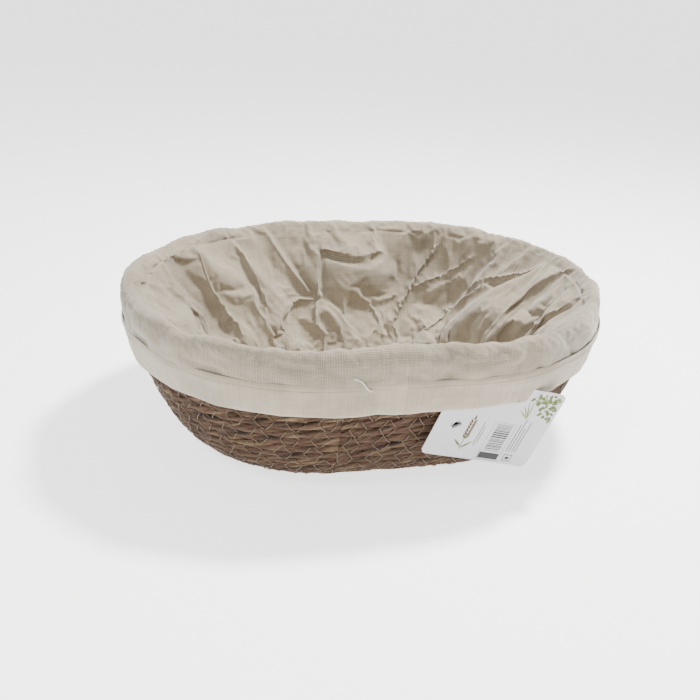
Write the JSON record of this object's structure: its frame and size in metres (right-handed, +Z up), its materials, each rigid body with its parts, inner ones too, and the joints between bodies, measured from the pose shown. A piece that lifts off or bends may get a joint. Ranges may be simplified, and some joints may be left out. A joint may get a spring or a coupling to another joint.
{
  "type": "banneton basket",
  "caption": "Oval coiled-rope bread-proofing basket with a lift-out cloth liner, its elasticated cuff folded over the rim, and a card swing tag.",
  "frame": {"origin": "on the ground plane at the centre of the base", "axes": "+Z up, X along the oval's long way, -Y is the front, with the tag at the front right"},
  "size_m": [0.3, 0.2362, 0.1012],
  "materials": {
    "seagrass": "dry twisted seagrass, matte",
    "twine": "thin cotton twine, matte",
    "linen": "coarse open plain weave, matte",
    "hem_linen": "doubled plain weave, matte",
    "elastic": "woven elastic",
    "sewing_thread": "sewing thread, matte",
    "card": "smooth coated card",
    "clear_plastic": "clear nylon"
  },
  "bodies": {
    "basket": {"base_coil_01": "seagrass", "base_coil_02": "seagrass", "base_coil_03": "seagrass", "base_coil_04": "seagrass", "base_coil_05": "seagrass", "base_coil_06": "seagrass", "base_coil_07": "seagrass", "base_coil_08": "seagrass", "base_coil_09": "seagrass", "base_stitching": "twine", "rim_coil": "seagrass", "rope_tail": "seagrass", "tag_pin": "clear_plastic", "wall_coil_01": "seagrass", "wall_coil_02": "seagrass", "wall_coil_03": "seagrass", "wall_coil_04": "seagrass", "wall_coil_05": "seagrass", "wall_coil_06": "seagrass", "wall_coil_07": "seagrass", "wall_coil_08": "seagrass", "wall_coil_09": "seagrass", "wall_coil_10": "seagrass", "wall_coil_11": "seagrass", "wall_coil_12": "seagrass", "wall_coil_13": "seagrass", "wall_coil_14": "seagrass", "wall_coil_15": "seagrass", "wall_coil_16": "seagrass", "wall_coil_17": "seagrass", "wall_stitching": "twine"},
    "liner": {"liner_floor": "linen", "liner_side": "linen", "liner_cuff": "linen", "liner_hem": "hem_linen", "hem_elastic": "elastic", "hem_stitching": "sewing_thread", "floor_stitching": "sewing_thread", "loose_thread": "sewing_thread"},
    "tag": {"swing_tag": "card"}
  },
  "joints": [
    {"name": "liner_lift", "type": "slide", "parent": "basket", "child": "liner", "axis": [0, 0, 1], "range_m": [0, 0.12], "deforming": ["liner_cuff", "liner_hem", "hem_elastic", "hem_stitching", "loose_thread"]},
    {"name": "tag_swing", "type": "hinge", "parent": "basket", "child": "tag", "pos_m": [0.0312, -0.1092, 0.052], "axis": [0.0858, -0.9811, -0.1736], "range_deg": [-12, 5]}
  ]
}
